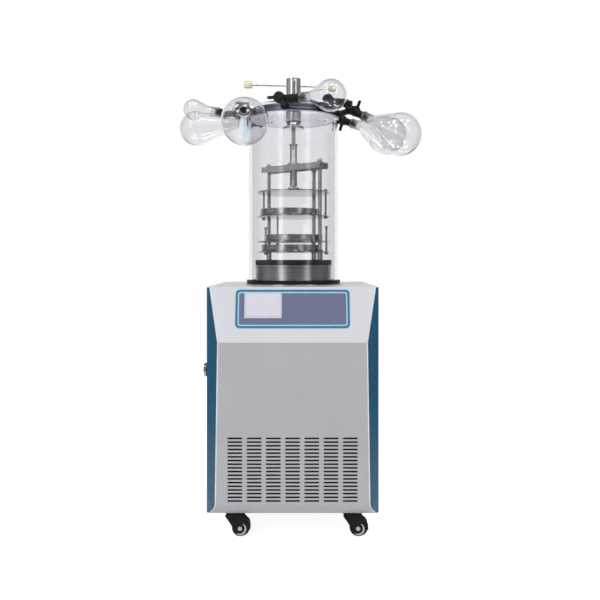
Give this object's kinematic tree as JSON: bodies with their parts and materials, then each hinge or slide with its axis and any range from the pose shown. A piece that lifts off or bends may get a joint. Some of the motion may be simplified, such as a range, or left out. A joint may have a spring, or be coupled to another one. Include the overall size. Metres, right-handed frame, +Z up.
{
  "type": "freeze dryer",
  "caption": "Castor-mounted freeze dryer cabinet with a clear drying chamber on top, a screw-pressed shelf rack inside it and glass flasks on valves around its rim.",
  "frame": {"origin": "floor level, below the middle of the whole bounding box, flasks included", "axes": "+Z up, front with the control panel towards -Y, +X to the right as the user faces it"},
  "size_m": [0.808, 0.691, 1.446],
  "materials": {
    "grey_paint": "semi-gloss grey powder coat",
    "white_paint": "smooth pale grey-white powder coat",
    "blue_paint": "glossy teal-blue paint",
    "overlay_film": "satin printed film",
    "screen": "smooth screen cover",
    "castor_plastic": "moulded, slightly grained",
    "castor_rubber": "matt tread",
    "trap_steel": "satin",
    "black_enamel": "gloss black enamel",
    "finned_metal": "bare fins and galvanised shroud",
    "fan_plastic": "moulded",
    "port_steel": "turned",
    "seal_rubber": "smooth black moulding",
    "drum_steel": "brushed round",
    "clear_acrylic": "polished clear",
    "ring_metal": "dark blue-grey anodised",
    "polished_steel": "mirror polished",
    "rack_steel": "fine satin",
    "tray_steel": "fine satin",
    "cream_plastic": "smooth cream moulding",
    "valve_rubber": "matt moulded",
    "valve_plastic": "moulded",
    "flask_glass": "clear, with a frosted neck"
  },
  "bodies": {
    "cabinet": {"base_pan": "grey_paint", "side_panel_left": "blue_paint", "side_panel_right": "blue_paint", "front_panel": "grey_paint", "top_cover": "white_paint", "rear_panel": "grey_paint", "control_overlay": "overlay_film", "touchscreen": "screen", "cold_trap": "trap_steel", "compressor": "black_enamel", "condenser": "finned_metal", "vacuum_port": "port_steel", "chamber_seal": "seal_rubber", "trap_drum": "drum_steel", "rack_deck": "seal_rubber", "chamber_tube": "clear_acrylic", "manifold_ring": "ring_metal", "lid": "clear_acrylic", "lid_gland": "polished_steel", "rack_base": "rack_steel", "yoke": "rack_steel", "tray_3": "tray_steel", "valve_body_left": "valve_rubber", "valve_body_front_left": "valve_rubber", "valve_body_front": "valve_rubber", "valve_body_front_right": "valve_rubber", "valve_body_right": "valve_rubber", "valve_body_rear_right": "valve_rubber", "valve_body_rear_left": "valve_rubber", "flask_left": "flask_glass", "flask_front_left": "flask_glass", "flask_front": "flask_glass", "flask_right": "flask_glass", "flask_rear_right": "flask_glass", "flask_rear_left": "flask_glass"},
    "fan": {"fan_rotor": "fan_plastic"},
    "swivel_front_left": {"castor_fork_front_left": "castor_plastic"},
    "roller_front_left": {"castor_wheel_front_left": "castor_rubber"},
    "swivel_front_right": {"castor_fork_front_right": "castor_plastic"},
    "roller_front_right": {"castor_wheel_front_right": "castor_rubber"},
    "swivel_rear_left": {"castor_fork_rear_left": "castor_plastic"},
    "roller_rear_left": {"castor_wheel_rear_left": "castor_rubber"},
    "swivel_rear_right": {"castor_fork_rear_right": "castor_plastic"},
    "roller_rear_right": {"castor_wheel_rear_right": "castor_rubber"},
    "press_handle": {"handle": "polished_steel", "handle_knob_left": "cream_plastic", "handle_knob_right": "cream_plastic"},
    "press": {"press_plate": "rack_steel"},
    "screw": {"press_screw": "polished_steel"},
    "upper_shelf": {"shelf_1": "rack_steel", "tray_1": "tray_steel"},
    "middle_shelf": {"shelf_2": "rack_steel", "tray_2": "tray_steel"},
    "knob_left": {"valve_knob_left": "valve_plastic"},
    "knob_front_left": {"valve_knob_front_left": "valve_plastic"},
    "knob_front": {"valve_knob_front": "valve_plastic"},
    "knob_front_right": {"valve_knob_front_right": "valve_plastic"},
    "knob_right": {"valve_knob_right": "valve_plastic"},
    "knob_rear_right": {"valve_knob_rear_right": "valve_plastic"},
    "knob_rear_left": {"valve_knob_rear_left": "valve_plastic"}
  },
  "joints": [
    {"name": "fan_spin", "type": "hinge", "parent": "cabinet", "child": "fan", "pos_m": [-0.00036, -0.12946, 0.1953], "axis": [0, 1, 0], "continuous": true},
    {"name": "swivel_front_left_turn", "type": "hinge", "parent": "cabinet", "child": "swivel_front_left", "pos_m": [-0.17836, -0.19646, 0.074], "axis": [0, 0, 1], "continuous": true},
    {"name": "roller_front_left_roll", "type": "hinge", "parent": "swivel_front_left", "child": "roller_front_left", "pos_m": [-0.15936, -0.19646, 0.025], "axis": [0, 1, 0], "continuous": true},
    {"name": "swivel_front_right_turn", "type": "hinge", "parent": "cabinet", "child": "swivel_front_right", "pos_m": [0.17764, -0.19646, 0.074], "axis": [0, 0, 1], "continuous": true},
    {"name": "roller_front_right_roll", "type": "hinge", "parent": "swivel_front_right", "child": "roller_front_right", "pos_m": [0.19664, -0.19646, 0.025], "axis": [0, 1, 0], "continuous": true},
    {"name": "swivel_rear_left_turn", "type": "hinge", "parent": "cabinet", "child": "swivel_rear_left", "pos_m": [-0.17836, 0.27954, 0.074], "axis": [0, 0, 1], "continuous": true},
    {"name": "roller_rear_left_roll", "type": "hinge", "parent": "swivel_rear_left", "child": "roller_rear_left", "pos_m": [-0.15936, 0.27954, 0.025], "axis": [0, 1, 0], "continuous": true},
    {"name": "swivel_rear_right_turn", "type": "hinge", "parent": "cabinet", "child": "swivel_rear_right", "pos_m": [0.17764, 0.27954, 0.074], "axis": [0, 0, 1], "continuous": true},
    {"name": "roller_rear_right_roll", "type": "hinge", "parent": "swivel_rear_right", "child": "roller_rear_right", "pos_m": [0.19664, 0.27954, 0.025], "axis": [0, 1, 0], "continuous": true},
    {"name": "handle_turn", "type": "hinge", "parent": "cabinet", "child": "press_handle", "pos_m": [-0.00036, 0.04154, 1.3423], "axis": [0, 0, 1], "range_deg": [-4104, 0]},
    {"name": "press_slide", "type": "slide", "parent": "cabinet", "child": "press", "axis": [0, 0, 1], "range_m": [-0.05701, 0]},
    {"name": "screw_turn", "type": "hinge", "parent": "press", "child": "screw", "pos_m": [-0.00036, 0.04154, 1.083], "axis": [0, 0, 1], "range_deg": [-4105, 0]},
    {"name": "upper_shelf_slide", "type": "slide", "parent": "cabinet", "child": "upper_shelf", "axis": [0, 0, 1], "range_m": [-0.03001, 0]},
    {"name": "middle_shelf_slide", "type": "slide", "parent": "cabinet", "child": "middle_shelf", "axis": [0, 0, 1], "range_m": [-0.00881, 0]},
    {"name": "knob_left_turn", "type": "hinge", "parent": "cabinet", "child": "knob_left", "pos_m": [-0.19087, 0.05171, 1.334], "axis": [0.1045, -0.9945, 0], "range_deg": [0, 90]},
    {"name": "knob_front_left_turn", "type": "hinge", "parent": "cabinet", "child": "knob_front_left", "pos_m": [-0.18478, -0.07339, 1.334], "axis": [-0.9945, -0.1045, 0], "range_deg": [-90, 0]},
    {"name": "knob_front_turn", "type": "hinge", "parent": "cabinet", "child": "knob_front", "pos_m": [-0.04415, -0.1734, 1.334], "axis": [-0.4067, -0.9135, 0], "range_deg": [-90, 0]},
    {"name": "knob_front_right_turn", "type": "hinge", "parent": "cabinet", "child": "knob_front_right", "pos_m": [0.1079, -0.14265, 1.334], "axis": [-0.1736, -0.9848, 0], "range_deg": [0, 90]},
    {"name": "knob_right_turn", "type": "hinge", "parent": "cabinet", "child": "knob_right", "pos_m": [0.20934, 0.02477, 1.334], "axis": [0.6947, 0.7193, 0], "range_deg": [0, 90]},
    {"name": "knob_rear_right_turn", "type": "hinge", "parent": "cabinet", "child": "knob_rear_right", "pos_m": [0.17497, 0.17288, 1.334], "axis": [0.6157, 0.788, 0], "range_deg": [-90, 0]},
    {"name": "knob_rear_left_turn", "type": "hinge", "parent": "cabinet", "child": "knob_rear_left", "pos_m": [-0.11818, 0.22548, 1.334], "axis": [-0.225, 0.9744, 0], "range_deg": [-90, 0]}
  ],
  "couplings": [
    {"joint": "press_slide", "follows": "handle_turn", "m_per_rad": 0.00079577},
    {"joint": "screw_turn", "follows": "handle_turn", "ratio": 1},
    {"joint": "upper_shelf_slide", "follows": "handle_turn", "m_per_rad": 0.00041883},
    {"joint": "middle_shelf_slide", "follows": "handle_turn", "m_per_rad": 0.00012286}
  ]
}
